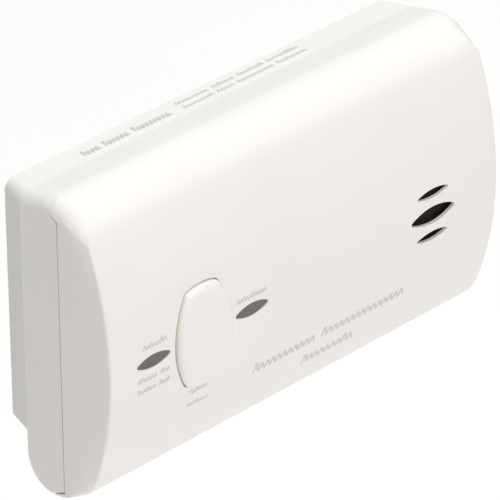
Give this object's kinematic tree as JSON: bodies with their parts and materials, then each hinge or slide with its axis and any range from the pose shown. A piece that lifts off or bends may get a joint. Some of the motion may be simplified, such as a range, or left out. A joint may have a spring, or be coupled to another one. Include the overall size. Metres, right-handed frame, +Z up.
{
  "type": "carbon monoxide detector",
  "caption": "Wall-mounted battery carbon monoxide alarm with a curved front, test button, smoked indicator windows, slotted sounder grille and a rear battery door.",
  "frame": {"origin": "on the wall plane, midway across the case and halfway up it", "axes": "+Z up, +Y into the wall, so the front faces -Y, and +X to the right as seen from the front"},
  "size_m": [0.1142, 0.0347, 0.0704],
  "materials": {
    "shell": "satin white moulded ABS with a very fine grain",
    "button": "smooth white moulded ABS",
    "label": "blank coated label",
    "window": "smoked acrylic",
    "red_led": "tinted epoxy",
    "green_led": "tinted epoxy",
    "board": "solder mask over glass fibre",
    "black_plastic": "moulded black",
    "chip": "epoxy package",
    "can": "drawn steel",
    "ferrite": "sintered core",
    "capacitor": "sleeved aluminium",
    "resistor": "lacquered",
    "diode": "glass body",
    "brass": "bright",
    "piezo": "silvered",
    "screen": "fine black mesh",
    "nickel": "nickel-plated spring steel",
    "cell": "plain sleeve with a bright ring",
    "screw": "zinc plated"
  },
  "bodies": {
    "case": {"front_cover": "shell", "rear_housing": "shell", "alarm_window": "window", "power_window": "window", "alarm_led": "red_led", "power_led": "green_led", "circuit_board": "board", "switch_body": "black_plastic", "microcontroller": "chip", "sounder_driver": "chip", "clock_crystal": "can", "boost_inductor": "ferrite", "electrolytic_capacitors": "capacitor", "resistors": "resistor", "diodes": "diode", "sounder_horn": "black_plastic", "sounder_diaphragm": "brass", "piezo_ceramic": "piezo", "sounder_contacts": "brass", "dust_screen": "screen", "co_sensor": "can", "sensor_cap": "black_plastic", "sensor_tabs": "nickel", "battery_1": "cell", "battery_2": "cell", "battery_3": "cell", "battery_springs": "nickel", "positive_terminal": "nickel", "negative_terminal": "nickel", "cell_link_left": "nickel", "cell_link_right": "nickel", "case_screws": "screw", "board_screws": "screw"},
    "door": {"battery_door": "shell", "rating_label": "label"},
    "button": {"test_button": "button"},
    "plunger": {"switch_plunger": "black_plastic"}
  },
  "joints": [
    {"name": "door_hinge", "type": "hinge", "parent": "case", "child": "door", "pos_m": [0, -0.0034, -0.01852], "axis": [-1, 0, 0], "range_deg": [0, 90]},
    {"name": "button_press", "type": "slide", "parent": "case", "child": "button", "axis": [0, 1, 0], "range_m": [0, 0.0006], "stiffness_N_per_m": 1500},
    {"name": "plunger_press", "type": "slide", "parent": "case", "child": "plunger", "axis": [0, 1, 0], "range_m": [0, 0.0006]}
  ],
  "couplings": [
    {"joint": "plunger_press", "follows": "button_press", "ratio": 1}
  ]
}
